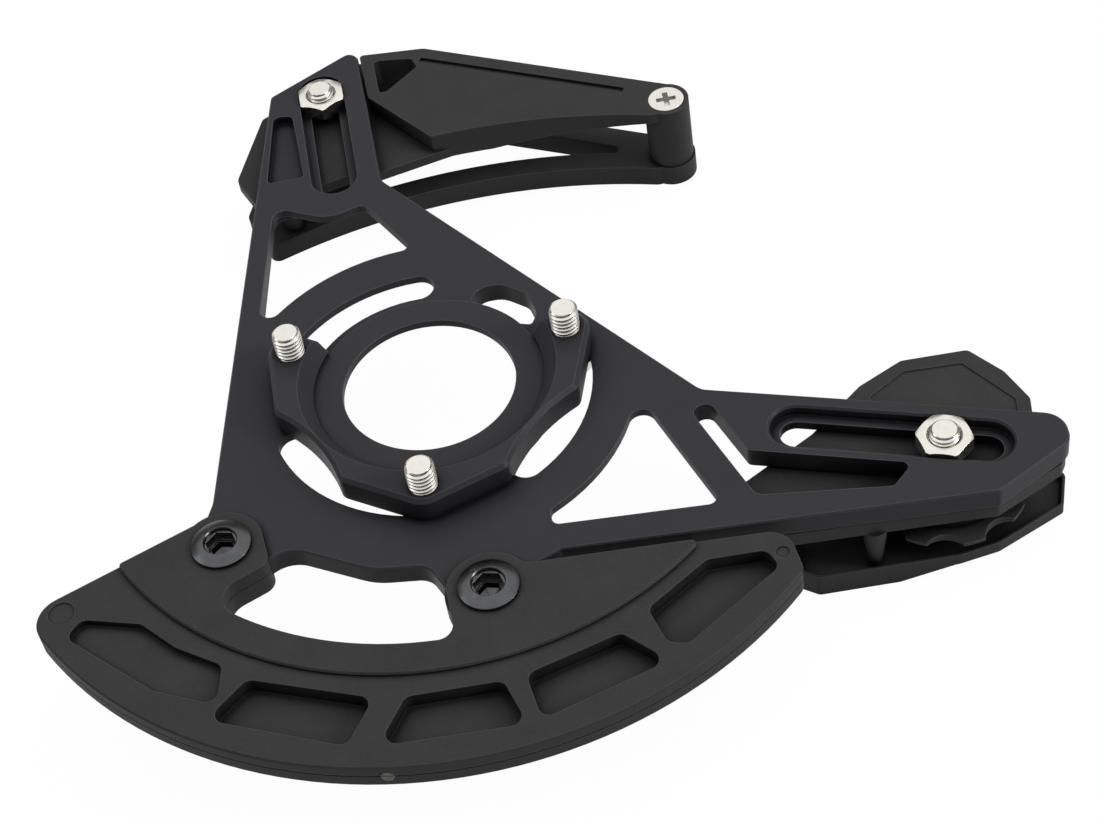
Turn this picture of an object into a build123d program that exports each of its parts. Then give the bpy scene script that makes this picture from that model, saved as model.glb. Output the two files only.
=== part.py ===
from build123d import *
import os
from math import acos, asin, atan2, cos, degrees, hypot, radians, sin, sqrt, tan

os.makedirs("parts", exist_ok=True)

# A bicycle chain guide in millimetres. Z is the axis of the bottom bracket and points
# at the bicycle frame. Height zero is the frame side of the backplate.

# Clearances
flat_gap = 0.1
edge_gap = 0.35
screw_gap = 0.15
thread_gap = 0.05
press_gap = 0.02

# A full turn, and the angles of sloped edges and countersinks
full_turn = 360
bevel_angle = 45
countersink_angle = 90

# Backplate
plate_thickness = 4.5
web_thickness = 1.8
plate_bore_radius = 20.5
plate_edge_break = 0.3
band_radius = 41.6
tab_radius = 8.6
arm_tip = (-6.4, 108.6)
arm_corner = (-4.6, 65.2)
diagonal_foot = (53.0, -12.8)

# Bolts that join backplate, ring and frame tabs on the standard 59 mm circle
stud_circle_radius = 29.5
stud_angles = (155.5, 263.14, 370.35)
stud_radius = 2.95
stud_shank_radius = 2.7
stud_reach = 5.4
stud_runout = 0.3
stud_tip_chamfer = 0.6
slot_room = 0.42
slot_sweep = 66.0
slot_overrun = 5.0
head_radius = 5.25
head_height = 3.3
head_round = 1.6
head_room = 0.35
head_sink = 0.3
socket_flats = 4.0
socket_depth = 2.2

# Adapter ring
bb_hole_radius = 17.6
lip_radius = 23.5
lip_height = 1.7
ring_height = 5.7
ring_step_height = 2.5
ring_cone_radius = 26.2
boss_radius = 4.75
lobe_radius = 31.4
lobe_half_angle = 33.5
waist_radius = 27.1
waist_curve_radius = 36.7
waist_round = 2.5
ring_edge_break = 0.8

# Clamp slots, clamp bolts and clamp nuts
clamp_radius = 2.95
clamp_nut_flats = 10.0
clamp_nut_height = 3.2
nut_chamfer = 0.7
nut_face_inset = 0.02
clamp_slot_room = 0.25
nut_room = 0.15
nut_seat_depth = 2.5
clamp_reach = 1.6
slot_edge_break = 0.45
stop_margin = 0.1
upper_slot_far = (-15.86, 99.05)
upper_slot_near = (-14.85, 68.6)
lower_slot_inner = (69.3, -26.9)
lower_slot_outer = (104.0, -39.0)
axle_travel_in = 28.6

# Bash guard
bash_centre = (-1.6, 0.0)
bash_radius = 90.2
bash_band_width = 19.8
bash_land_width = 6.7
bash_boss_radius = 8.1
bash_raised_height = 1.2
bash_band_height = 0.3
bash_parting = -2.3
bash_parting_gap = 0.25
bash_rim_lip = 0.3
bash_pad_thickness = 2.0
bash_floor_thickness = 0.9
bash_lap_width = 2.4
bash_edge_break = 0.4
pocket_rim_width = 4.7
pocket_width = 10.5
pocket_floor_thickness = 0.9
shallow_pocket_depth = 1.6
pocket_round = 2.2
bash_screw_places = ((-43.8, -31.9), (5.9, -53.4))
bash_screw_radius = 4.1
bash_flange_radius = 5.9
bash_flange_height = 1.5
bash_flange_slope_height = 1.1
bash_flange_slope_width = 2.2
bash_socket_flats = 6.0
bash_socket_depth = 4.5
sleeve_radius = 5.0
sleeve_top_gap = 0.5
sleeve_flange_radius = 6.3
sleeve_flange_height = 1.5
sleeve_slot_width = 1.6
sleeve_slot_depth = 0.8

# Upper guide
upper_tongue_thickness = 2.4
upper_channel_width = 9.0
upper_outer_thickness = 5.0
upper_tip_thickness = 2.4
upper_flare_start = 21.0
upper_flare_end = 57.0
upper_arc_radius = 128.0
upper_arc_crown = (16.5, 76.8)
upper_band_width = 5.1
cheek_side_gap = 0.45
cheek_end_gap = 1.5
cheek_corner_round = 0.9
groove_depth = 0.7
groove_width = 1.6
groove_start = (8.1, 104.6)
groove_end = (52.3, 81.2)
upper_spacer_radius = 6.5
pillar_place = (60.8, 74.9)
pillar_end_radius = 5.05
pillar_foot_margin = 0.35
post_place = (-26.6, 73.0)
post_top_radius = 2.6
post_foot_radius = 1.9
pillar_screw_radius = 1.95
pillar_head_radius = 4.0
pillar_cross_length = 4.4
pillar_cross_width = 1.2
pillar_cross_depth = 1.6
pillar_nut_flats = 7.0
pillar_nut_height = 3.2

# Lower guide, pulley and bearing
lower_inner_thickness = 3.9
lower_channel_width = 9.3
lower_outer_thickness = 5.3
lower_tip_thickness = 2.7
lower_bevel_start = 84.0
lower_bevel_end = 95.0
lower_edge_break = 0.45
lower_rim_width = 0.5
lower_tray_depth = 1.8
lower_tray_angle = 20
lower_groove_angle = 65
axle_boss_radius = 4.7
axle_pad_radius = 7.5
lower_post_place = (79.9, -48.0)
lower_post_top_radius = 2.6
lower_post_foot_radius = 1.2
chain_pitch = 12.7
pulley_teeth = 9
pulley_tip_radius = 16.4
pulley_tooth_width = 2.3
pulley_tip_width = 0.7
pulley_bevel_radius = 13.0
pulley_hub_radius = 12.2
roller_seat_radius = 4.4
pulley_phase = -102.9
bearing_width = 6.0
bearing_radius = 9.5
inner_race_radius = 5.0
race_gap = 0.1

# Corners of the flat outlines, each with its rounding radius
plate_outline = [
    (-8.0, 111.3, 2.0),
    (-27.4, 100.1, 1.5),
    (-45.4, -19.8, 6.0),
    (-50.0, -32.0, 1.0),
    (-38.5, -39.3, 1.0),
    (-31.9, -34.0, 6.5),
    (-15.5, -43.5, 14.0),
    (-5.0, -44.9, 4.0),
    (-1.6, -52.5, 1.0),
    (8.0, -58.0, 1.0),
    (12.5, -50.3, 1.0),
    (20.4, -46.7, 1.0),
    (103.2, -51.7, 1.2),
    (119.3, -42.7, 4.0),
    (119.6, -35.7, 5.0),
    (*diagonal_foot, 4.0),
    (*arm_corner, 3.0),
    (*arm_tip, 1.8),
]
web_outline = [
    (-29.2, 63.0, 3.0),
    (-7.1, 60.8, 3.0),
    (0.0, 44.5, 4.0),
    (6.6, 35.6, 1.0),
    (6.6, 19.0, 1.0),
    (21.0, 9.5, 1.0),
    (26.6, 8.9, 1.0),
    (44.5, -15.0, 4.0),
    (53.4, -39.0, 3.0),
    (53.4, -44.2, 2.0),
    (19.0, -43.6, 4.0),
    (-35.2, -26.6, 4.0),
    (-40.4, -22.6, 3.0),
]
upper_window = [
    (-28.8, 62.2, 2.4),
    (-17.0, 55.8, 8.0),
    (-9.1, 58.4, 2.2),
    (0.6, 41.0, 0.5),
    (-25.0, 17.0, 0.5),
    (-35.4, 17.0, 0.5),
]
upper_window_rounds = [((0.3, 41.6), 1.5), ((-34.6, 23.0), 2.2)]
triangle_window = [
    (38.9, -6.0, 0.5),
    (51.9, -42.6, 1.7),
    (19.6, -40.5, 1.5),
    (19.6, -34.0, 0.5),
]
triangle_window_rounds = [((40.2, -9.8), 2.7), ((19.6, -36.7), 1.5)]
hockey_window = [
    (50.0, -18.1, 2.1),
    (54.0, -16.5, 2.1),
    (59.2, -30.8, 1.2),
    (89.0, -41.2, 1.3),
    (84.3, -46.0, 1.6),
    (58.6, -42.2, 2.5),
]
blind_pocket = [
    (-27.2, 92.8, 1.5),
    (-22.9, 92.0, 1.5),
    (-21.5, 70.6, 1.0),
    (-29.8, 70.6, 1.0),
]
side_opening = [
    (10.0, 20.6, 0.8),
    (12.0, 26.3, 4.0),
    (17.6, 26.3, 5.0),
    (22.6, 22.0, 3.0),
    (23.9, 16.0, 3.0),
    (22.4, 13.0, 0.8),
    (15.4, 15.4, 0.8),
]
blind_pocket_depth = 2.0

bash_far_side = [
    (-45.2, -24.1),
    bash_screw_places[0],
    (-33.0, -30.9),
    (-20.0, -50.0),
    bash_screw_places[1],
    (10.5, -49.3),
]
bash_left_through = (-88.0, -42.2)
bash_shoulder_inset = 7.58
bash_shoulder_angle = -39.0
bash_right_run = (1.6, -14.0)
bash_left_round = 6.0
bash_shoulder_round = 5.0
bash_right_round = 3.4
bash_boss_round = 3.0
bash_tip_round = 1.0
cutout_far_side = [
    (-2.3, -49.5),
    (-6.0, -40.0),
]
cutout_corner_inset = 13.02
cutout_corner_angle = -130.92
cutout_left_run = (-7.2, -3.25)
cutout_left_rises = [(0.8, 12.3), (-1.3, 9.3)]
cutout_right_through = (-1.3, -68.0)
cutout_left_round = 4.5
cutout_corner_round = 3.0
cutout_right_round = 3.0
bash_pocket_angles = [
    ((-121.3, -102.4), (-123.3, -104.8)),
    ((-98.0, -84.2), (-101.0, -82.8)),
    ((-81.0, -66.4), (-81.0, -63.8)),
]
bash_end_pocket = [
    (34.0, -64.4),
    (46.6, -55.6),
    (57.9, -55.9),
    (59.6, -60.2),
    (40.0, -73.8),
    (36.4, -72.6),
]
bash_shallow_pocket = [
    (-74.6, -46.8),
    (-71.4, -43.2),
    (-60.0, -46.8),
    (-53.6, -53.8),
    (-45.0, -59.8),
    (-46.4, -68.6),
    (-58.0, -62.8),
]
pin_marks = [((-75.3, -40.9), 2.6), ((60.7, -57.0), 1.35)]
pin_mark_depth = 0.25

upper_outline = [
    (9.0, 107.7, 4.0),
    (63.0, 79.2, 0.2),
    (*pillar_place, 0.2),
    (58.4, 60.0, 0.2),
    (-29.2, 60.0, 0.2),
    (-37.2, 78.4, 3.0),
    (-30.4, 98.2, 1.5),
    (-9.0, 109.5, 0.8),
]
upper_near_rounds = [((-32.4, 67.2), 2.0), ((59.4, 69.3), 3.5)]
upper_hole = [
    (-3.0, 106.4, 1.2),
    (5.9, 104.9, 1.4),
    (6.9, 101.6, 1.0),
    (-0.8, 94.7, 1.0),
    (-2.5, 94.8, 0.7),
]
upper_fill = [
    (12.5, 76.9),
    (-4.6, 72.9),
    (-9.0, 71.9),
    (-9.0, 80.0),
    (12.5, 80.0),
]
upper_far_fill = [
    (-16.0, 103.0),
    (-7.5, 112.3),
    (9.0, 107.0),
    (-3.0, 103.0),
]
upper_rib = [
    (-6.0, 108.6),
    (8.6, 107.1),
    (11.5, 105.6),
    (10.6, 104.2),
    (8.0, 105.6),
    (-6.0, 107.0),
]
upper_outer_window = [
    (-6.0, 70.0, 0.5),
    (-6.0, 100.5, 2.0),
    (7.5, 101.8, 3.0),
]
window_end_place = 49.4
window_end_height = 2.25
window_end_round = 1.3
window_near_round = 1.1
window_left_round = 2.0

lower_inner_outline = [
    (57.0, -34.8, 2.0),
    (72.6, -25.5, 6.0),
    (84.3, -15.3, 4.0),
    (93.8, -10.5, 2.0),
    (107.3, -10.8, 1.5),
    (112.8, -18.1, 4.0),
    (115.9, -26.2, 2.0),
    (115.2, -30.5, 2.0),
    (118.9, -41.2, 1.5),
    (117.2, -43.9, 1.2),
    (103.1, -50.9, 1.2),
    (57.6, -48.8, 2.0),
]
lower_outer_outline = [
    (64.8, -29.6, 2.0),
    (93.6, -10.5, 2.5),
    (106.8, -11.0, 1.5),
    (115.6, -24.0, 3.0),
    (120.5, -36.6, 2.0),
    (118.2, -43.6, 1.2),
    (103.8, -50.1, 1.2),
    (95.6, -51.4, 3.0),
    (68.2, -50.8, 1.8),
    (64.9, -48.4, 1.6),
]
lower_groove = [
    (84.8, -19.0, 1.0),
    (93.6, -13.5, 1.0),
    (105.4, -14.0, 1.0),
    (113.2, -25.8, 1.0),
    (112.0, -33.4, 1.0),
]


def polar(radius, angle, centre=(0.0, 0.0)):
    """Point at a radius and an angle in degrees about a centre"""
    return (centre[0] + radius * cos(radians(angle)), centre[1] + radius * sin(radians(angle)))


def shifted(point, step, amount=1.0):
    """Point moved along a step, as many times as amount says"""
    return (point[0] + amount * step[0], point[1] + amount * step[1])


def span(start, end):
    """Distance between two points"""
    return hypot(end[0] - start[0], end[1] - start[1])


def unit_step(start, end):
    """Step of 1 mm from start towards end"""
    length = span(start, end)
    return ((end[0] - start[0]) / length, (end[1] - start[1]) / length)


def touch_point(centre, radius, outside, side):
    """Point where a line from an outside point touches a circle, on the side +1 or -1"""
    across = (outside[0] - centre[0], outside[1] - centre[1])
    turn = degrees(acos(radius / hypot(*across)))
    return polar(radius, degrees(atan2(across[1], across[0])) + side * turn, centre)


def leave_circle(start, through, centre, radius):
    """Point where a line from inside a circle through another point leaves the circle"""
    step = unit_step(start, through)
    inside = (start[0] - centre[0], start[1] - centre[1])
    along = inside[0] * step[0] + inside[1] * step[1]
    return shifted(start, step, sqrt(along**2 - hypot(*inside) ** 2 + radius**2) - along)


def rise_to_circle(place, centre, radius):
    """Point of the upper half of a circle at a place along x"""
    return (place, centre[1] + sqrt(radius**2 - (place - centre[0]) ** 2))


def rounded_face(corners, mode=Mode.ADD):
    """Face inside corners that each hold x, y and a rounding radius"""
    points = [corner[:2] for corner in corners]
    radii = [corner[2] for corner in corners]
    with BuildLine() as outline:
        FilletPolyline(*points, radius=radii, close=True)
    make_face(outline.edges(), mode=mode)


def plain_face(points, mode=Mode.ADD):
    """Face inside straight sides"""
    with BuildLine() as outline:
        Polyline(*points, close=True)
    make_face(outline.edges(), mode=mode)


def slot_face(start, end, width):
    """Round-ended slot between two end centres"""
    middle = ((start[0] + end[0]) / 2, (start[1] + end[1]) / 2)
    bearing = degrees(atan2(end[1] - start[1], end[0] - start[0]))
    with Locations(middle):
        SlotCenterToCenter(span(start, end), width, rotation=bearing)


def raise_shape(shape, base, top, edge_break):
    """Extrude a shape from base to top with a sloped break along its upper edge"""
    extrude(Plane.XY.offset(base) * shape, amount=top - edge_break - base)
    extrude(Plane.XY.offset(top - edge_break) * shape, amount=edge_break, taper=bevel_angle)


def break_rim(centre, radius, top, edge_break):
    """Cut a sloped break along the upper edge of a round wall about a centre"""
    with BuildSketch(Plane((*centre, 0), x_dir=(1, 0, 0), z_dir=(0, -1, 0))) as rim_cut:
        plain_face(
            [
                (radius - edge_break, top),
                (radius + edge_break, top),
                (radius + edge_break, top - 2 * edge_break),
            ]
        )
    revolve(rim_cut.sketch, axis=Axis((*centre, 0), (0, 0, 1)), mode=Mode.SUBTRACT)


def round_corners(sketch, rounds):
    """Round the sketch corner nearest each point by its radius"""
    for point, radius in rounds:
        fillet(sketch.vertices().sort_by_distance((*point, 0))[0], radius)


# Places that follow from the sizes above
stud_places = [polar(stud_circle_radius, angle) for angle in stud_angles]
upper_step = unit_step(upper_slot_far, upper_slot_near)
lower_step = unit_step(lower_slot_inner, lower_slot_outer)
nut_half = clamp_nut_flats / 2
slot_stop = nut_half / sqrt(3) - sqrt((nut_half + nut_room) ** 2 - nut_half**2) + stop_margin
upper_bolt_place = shifted(upper_slot_far, upper_step, slot_stop)
axle_place = shifted(lower_slot_inner, lower_step, axle_travel_in)
upper_travel = span(upper_slot_far, upper_slot_near) - 2 * slot_stop
ledge_height = -nut_seat_depth
cheek_top = -plate_thickness - flat_gap
bash_shoulder = polar(bash_radius - bash_shoulder_inset, bash_shoulder_angle, bash_centre)
bash_right_through = shifted(bash_shoulder, bash_right_run)
bash_step_radius = bash_radius - bash_band_width
bash_cutout_radius = bash_step_radius - bash_land_width
cutout_corner = polar(bash_cutout_radius - cutout_corner_inset, cutout_corner_angle, bash_centre)
cutout_left_through = shifted(cutout_corner, cutout_left_run)
pocket_outer_radius = bash_radius - pocket_rim_width
pocket_inner_radius = pocket_outer_radius - pocket_width
bash_parting_top = bash_parting + bash_parting_gap
bash_rim_bottom = -plate_thickness - bash_rim_lip
bash_pad_bottom = -plate_thickness - bash_pad_thickness
bash_lap_height = bash_rim_bottom + bash_floor_thickness
upper_tongue_bottom = cheek_top - upper_tongue_thickness
upper_outer_top = upper_tongue_bottom - upper_channel_width
upper_outer_bottom = upper_outer_top - upper_outer_thickness
lower_inner_bottom = cheek_top - lower_inner_thickness
lower_outer_top = lower_inner_bottom - lower_channel_width
lower_outer_bottom = lower_outer_top - lower_outer_thickness
lower_tip_bottom = lower_outer_top - lower_tip_thickness
lower_tray_floor = lower_outer_top - lower_tray_depth
slot_arcs = [
    Edge.make_circle(stud_circle_radius, start_angle=angle - slot_sweep, end_angle=angle + slot_overrun)
    for angle in stud_angles
]
pulley_middle = (lower_inner_bottom + lower_outer_top) / 2
bearing_top = pulley_middle + bearing_width / 2
bearing_bottom = pulley_middle - bearing_width / 2
upright = (Align.CENTER, Align.CENTER, Align.MIN)
hanging = (Align.CENTER, Align.CENTER, Align.MAX)


# Backplate: a flat plate with two arms, thinned from the outboard side round the bore
with BuildSketch() as plate_shape:
    rounded_face(plate_outline)
    with Locations(*bash_screw_places):
        Circle(tab_radius)
with BuildPart() as backplate:
    raise_shape(plate_shape.sketch, -plate_thickness, 0, plate_edge_break)
    with BuildSketch(Plane.XY.offset(-plate_thickness)):
        rounded_face(web_outline)
        Circle(lip_radius)
        for arc in slot_arcs:
            SlotArc(arc, 2 * (head_radius + head_room))
    extrude(amount=plate_thickness - web_thickness, mode=Mode.SUBTRACT)
    with BuildSketch():
        Circle(plate_bore_radius)
        for arc in slot_arcs:
            SlotArc(arc, 2 * (stud_radius + slot_room))
        rounded_face(side_opening)
        rounded_face(hockey_window)
        with Locations(*bash_screw_places):
            Circle(sleeve_radius + screw_gap)
        slot_face(upper_slot_far, upper_slot_near, 2 * (clamp_radius + clamp_slot_room))
        slot_face(lower_slot_inner, lower_slot_outer, 2 * (clamp_radius + clamp_slot_room))
    extrude(amount=-plate_thickness, mode=Mode.SUBTRACT)
    with BuildSketch() as upper_cut:
        rounded_face(upper_window)
        Circle(band_radius, mode=Mode.SUBTRACT)
        round_corners(upper_cut, upper_window_rounds)
    extrude(amount=-plate_thickness, mode=Mode.SUBTRACT)
    with BuildSketch() as triangle_cut:
        rounded_face(triangle_window)
        Circle(band_radius, mode=Mode.SUBTRACT)
        round_corners(triangle_cut, triangle_window_rounds)
    extrude(amount=-plate_thickness, mode=Mode.SUBTRACT)
    with BuildSketch():
        slot_face(upper_slot_far, upper_slot_near, clamp_nut_flats + 2 * nut_room)
        slot_face(lower_slot_inner, lower_slot_outer, clamp_nut_flats + 2 * nut_room)
    extrude(amount=-nut_seat_depth, mode=Mode.SUBTRACT)
    with BuildSketch():
        slot_face(lower_slot_inner, lower_slot_outer, clamp_nut_flats + 2 * (nut_room + slot_edge_break))
    extrude(amount=-slot_edge_break, taper=bevel_angle, mode=Mode.SUBTRACT)
    with BuildSketch():
        rounded_face(blind_pocket)
    extrude(amount=-blind_pocket_depth, mode=Mode.SUBTRACT)
backplate.part.label = "backplate"
export_step(backplate.part, "parts/backplate.step")


# Adapter ring: a thin lip all round the bottom bracket hole and a raised part with three lobes
lobe_points = []
for angle, place in zip(stud_angles, stud_places):
    before = polar(lobe_radius, angle - lobe_half_angle)
    after = polar(lobe_radius, angle + lobe_half_angle)
    lobe_points += [before, touch_point(place, boss_radius, before, 1)]
    lobe_points += [touch_point(place, boss_radius, after, -1), after]
end_turn = degrees(asin(boss_radius / stud_circle_radius))
open_start = stud_angles[-1] + end_turn - full_turn
open_end = stud_angles[0] - end_turn
open_reach = 2 * stud_circle_radius
waist_angles = [(start + end) / 2 for start, end in zip(stud_angles, stud_angles[1:])]
open_points = [polar(open_reach, angle) for angle in (open_start, (open_start + open_end) / 2, open_end)]
with BuildSketch() as lobe_shape:
    plain_face(lobe_points)
    plain_face([(0, 0), *open_points], mode=Mode.SUBTRACT)
    with Locations(*[polar(waist_radius + waist_curve_radius, angle) for angle in waist_angles]):
        Circle(waist_curve_radius, mode=Mode.SUBTRACT)
    for angle, next_angle in zip(stud_angles, stud_angles[1:]):
        for corner_angle in (angle + lobe_half_angle, next_angle - lobe_half_angle):
            round_corners(lobe_shape, [(polar(lobe_radius, corner_angle), waist_round)])
    with Locations(*stud_places):
        Circle(boss_radius)
with BuildPart() as adapter_ring:
    with BuildSketch():
        Circle(lip_radius)
    extrude(amount=lip_height)
    raise_shape(lobe_shape.sketch, 0, ring_height, ring_edge_break)
    with BuildSketch(Plane.XZ):
        plain_face(
            [
                (0, lip_height),
                (lip_radius, lip_height),
                (lip_radius, ring_step_height),
                (ring_cone_radius, ring_height),
                (0, ring_height),
            ]
        )
    revolve(axis=Axis.Z, mode=Mode.SUBTRACT)
    with BuildSketch():
        Circle(bb_hole_radius)
        with Locations(*stud_places):
            Circle(stud_radius + screw_gap)
    extrude(amount=ring_height, mode=Mode.SUBTRACT)
adapter_ring.part.label = "adapter_ring"
export_step(adapter_ring.part, "parts/adapter_ring.step")


def button_bolt(name, place, seat, thread_start, tip, shank_radius, thread_radius):
    """Button head bolt that hangs its head below the seat and reaches up to the tip"""
    with BuildPart() as bolt:
        with Locations((*place, seat)):
            Cylinder(head_radius, head_height, align=hanging)
        fillet(bolt.edges().sort_by(Axis.Z)[0], head_round)
        with Locations((*place, seat)):
            Cylinder(shank_radius, thread_start - seat, align=upright)
        with Locations((*place, thread_start)):
            Cylinder(thread_radius, tip - thread_start, align=upright)
        chamfer(bolt.edges().sort_by(Axis.Z)[-1], stud_tip_chamfer)
        with BuildSketch(Plane((*place, seat - head_height))):
            RegularPolygon(socket_flats / 2, 6, major_radius=False)
        extrude(amount=socket_depth, mode=Mode.SUBTRACT)
    bolt.part.label = name
    export_step(bolt.part, f"parts/{name}.step")


def hex_nut(name, place, base, flats, height, bore_radius, bearing):
    """Nut with one chamfered end, its corners turned to a bearing"""
    corner_radius = flats / 2 / cos(radians(30))
    with BuildPart() as nut:
        with BuildSketch(Plane((*place, base))):
            RegularPolygon(flats / 2, 6, major_radius=False, rotation=bearing)
        extrude(amount=height)
        with BuildSketch(Plane((*place, base), x_dir=(1, 0, 0), z_dir=(0, -1, 0))):
            plain_face(
                [
                    (0, 0),
                    (corner_radius, 0),
                    (corner_radius, height - nut_chamfer),
                    (flats / 2 - nut_face_inset, height),
                    (0, height),
                ]
            )
        revolve(axis=Axis((*place, base), (0, 0, 1)), mode=Mode.INTERSECT)
        with BuildSketch(Plane((*place, base))):
            Circle(bore_radius)
        extrude(amount=height, mode=Mode.SUBTRACT)
    nut.part.label = name
    export_step(nut.part, f"parts/{name}.step")


# Three bolts hold the ring on the web and stand out of it towards the frame tabs
for number, place in enumerate(stud_places, start=1):
    button_bolt(
        f"ring_bolt_{number}",
        place,
        -web_thickness,
        ring_height + stud_runout,
        ring_height + stud_reach,
        stud_shank_radius,
        stud_radius,
    )


# Bash guard: two moulded halves that close round the tabs of the backplate
with BuildSketch() as plate_room:
    add(plate_shape.sketch)
    offset(amount=edge_gap)
bash_left_end = leave_circle(bash_far_side[0], bash_left_through, bash_centre, bash_radius)
bash_right_end = leave_circle(bash_shoulder, bash_right_through, bash_centre, bash_radius)
cutout_left_end = leave_circle(cutout_corner, cutout_left_through, bash_centre, bash_cutout_radius)
cutout_right_end = leave_circle(cutout_far_side[0], cutout_right_through, bash_centre, bash_cutout_radius)
with BuildSketch() as bash_shape:
    plain_face(
        [
            *bash_far_side,
            bash_shoulder,
            shifted(bash_right_end, unit_step(bash_shoulder, bash_right_end), bash_radius),
            shifted(bash_left_end, unit_step(bash_far_side[0], bash_left_end), bash_radius),
        ]
    )
    with Locations(bash_centre):
        Circle(bash_radius, mode=Mode.INTERSECT)
    round_corners(bash_shape, [(bash_left_end, bash_left_round), (bash_right_end, bash_right_round)])
    round_corners(bash_shape, [(bash_shoulder, bash_shoulder_round)])
with BuildSketch() as cutout_shape:
    plain_face(
        [
            *cutout_far_side,
            *[shifted(cutout_corner, rise) for rise in cutout_left_rises],
            cutout_corner,
            shifted(cutout_left_end, unit_step(cutout_corner, cutout_left_end), bash_radius),
            shifted(cutout_right_end, unit_step(cutout_far_side[0], cutout_right_end), bash_radius),
        ]
    )
    with Locations(bash_centre):
        Circle(bash_cutout_radius, mode=Mode.INTERSECT)
    round_corners(cutout_shape, [(cutout_left_end, cutout_left_round)])
    round_corners(cutout_shape, [(cutout_right_end, cutout_right_round)])
    round_corners(cutout_shape, [(cutout_corner, cutout_corner_round)])
with BuildSketch() as half_shape:
    add(bash_shape.sketch)
    with Locations(*bash_screw_places):
        Circle(bash_boss_radius)
    add(cutout_shape.sketch, mode=Mode.SUBTRACT)
    round_corners(half_shape, [(bash_far_side[-1], bash_boss_round)])
raised_left_tip = leave_circle(bash_far_side[0], bash_left_through, bash_centre, bash_step_radius)
raised_right_tip = leave_circle(bash_far_side[-1], bash_shoulder, bash_centre, bash_step_radius)
with BuildSketch() as raised_shape:
    add(half_shape.sketch)
    with Locations(bash_centre):
        Circle(bash_step_radius, mode=Mode.INTERSECT)
    round_corners(raised_shape, [(raised_left_tip, bash_tip_round), (raised_right_tip, bash_tip_round)])
with BuildSketch() as lap_shape:
    add(half_shape.sketch)
    offset(amount=-bash_lap_width)
with BuildPart() as bash_inner_half:
    with BuildSketch(Plane.XY.offset(bash_parting_top)):
        add(half_shape.sketch)
    extrude(amount=bash_band_height - bash_parting_top)
    break_rim(bash_centre, bash_radius, bash_band_height, bash_edge_break)
    with BuildSketch(Plane.XY.offset(bash_lap_height)):
        add(lap_shape.sketch)
    extrude(amount=bash_parting_top - bash_lap_height)
    with BuildSketch(Plane.XY.offset(bash_parting_top)):
        add(raised_shape.sketch)
    extrude(amount=bash_raised_height - bash_parting_top)
    break_rim(bash_centre, bash_step_radius, bash_raised_height, bash_edge_break)
    with BuildSketch(Plane.XY.offset(bash_lap_height)):
        add(plate_room.sketch)
    extrude(amount=-bash_lap_height, mode=Mode.SUBTRACT)
    with BuildSketch(Plane.XY.offset(bash_raised_height)) as pocket_shape:
        for inner_angles, outer_angles in bash_pocket_angles:
            corners = [polar(pocket_inner_radius, angle, bash_centre) for angle in inner_angles]
            corners += [polar(pocket_outer_radius, angle, bash_centre) for angle in reversed(outer_angles)]
            plain_face(corners)
        plain_face(bash_end_pocket)
        fillet(pocket_shape.vertices(), pocket_round)
    pocket_floor = bash_lap_height + pocket_floor_thickness
    extrude(amount=pocket_floor - bash_raised_height, mode=Mode.SUBTRACT)
    with BuildSketch(Plane.XY.offset(bash_raised_height)) as shallow_shape:
        plain_face(bash_shallow_pocket)
        fillet(shallow_shape.vertices(), pocket_round)
    shallow_floor = bash_band_height - shallow_pocket_depth
    extrude(amount=shallow_floor - bash_raised_height, mode=Mode.SUBTRACT)
    with BuildSketch(Plane.XY.offset(bash_band_height)):
        for place, mark_radius in pin_marks:
            with Locations(place):
                Circle(mark_radius)
    extrude(amount=-pin_mark_depth, mode=Mode.SUBTRACT)
    with BuildSketch(Plane.XY.offset(bash_raised_height)):
        with Locations(*bash_screw_places):
            Circle(sleeve_radius + screw_gap)
    extrude(amount=bash_lap_height - bash_raised_height, mode=Mode.SUBTRACT)
bash_inner_half.part.label = "bash_inner_half"
export_step(bash_inner_half.part, "parts/bash_inner_half.step")

with BuildPart() as bash_outer_half:
    with BuildSketch(Plane.XY.offset(bash_rim_bottom)):
        add(half_shape.sketch)
    extrude(amount=bash_parting - bash_rim_bottom)
    with BuildSketch(Plane.XY.offset(bash_lap_height)):
        add(lap_shape.sketch)
        offset(amount=flat_gap)
    extrude(amount=bash_parting - bash_lap_height, mode=Mode.SUBTRACT)
    with BuildSketch(Plane.XY.offset(bash_pad_bottom)):
        add(raised_shape.sketch)
    extrude(amount=bash_rim_bottom - bash_pad_bottom)
    with BuildSketch(Plane.XY.offset(-plate_thickness)):
        add(plate_room.sketch)
    extrude(amount=plate_thickness, mode=Mode.SUBTRACT)
    with BuildSketch(Plane.XY.offset(bash_pad_bottom)):
        with Locations(*bash_screw_places):
            Circle(sleeve_radius + screw_gap)
    extrude(amount=bash_parting - bash_pad_bottom, mode=Mode.SUBTRACT)
bash_outer_half.part.label = "bash_outer_half"
export_step(bash_outer_half.part, "parts/bash_outer_half.step")


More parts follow.
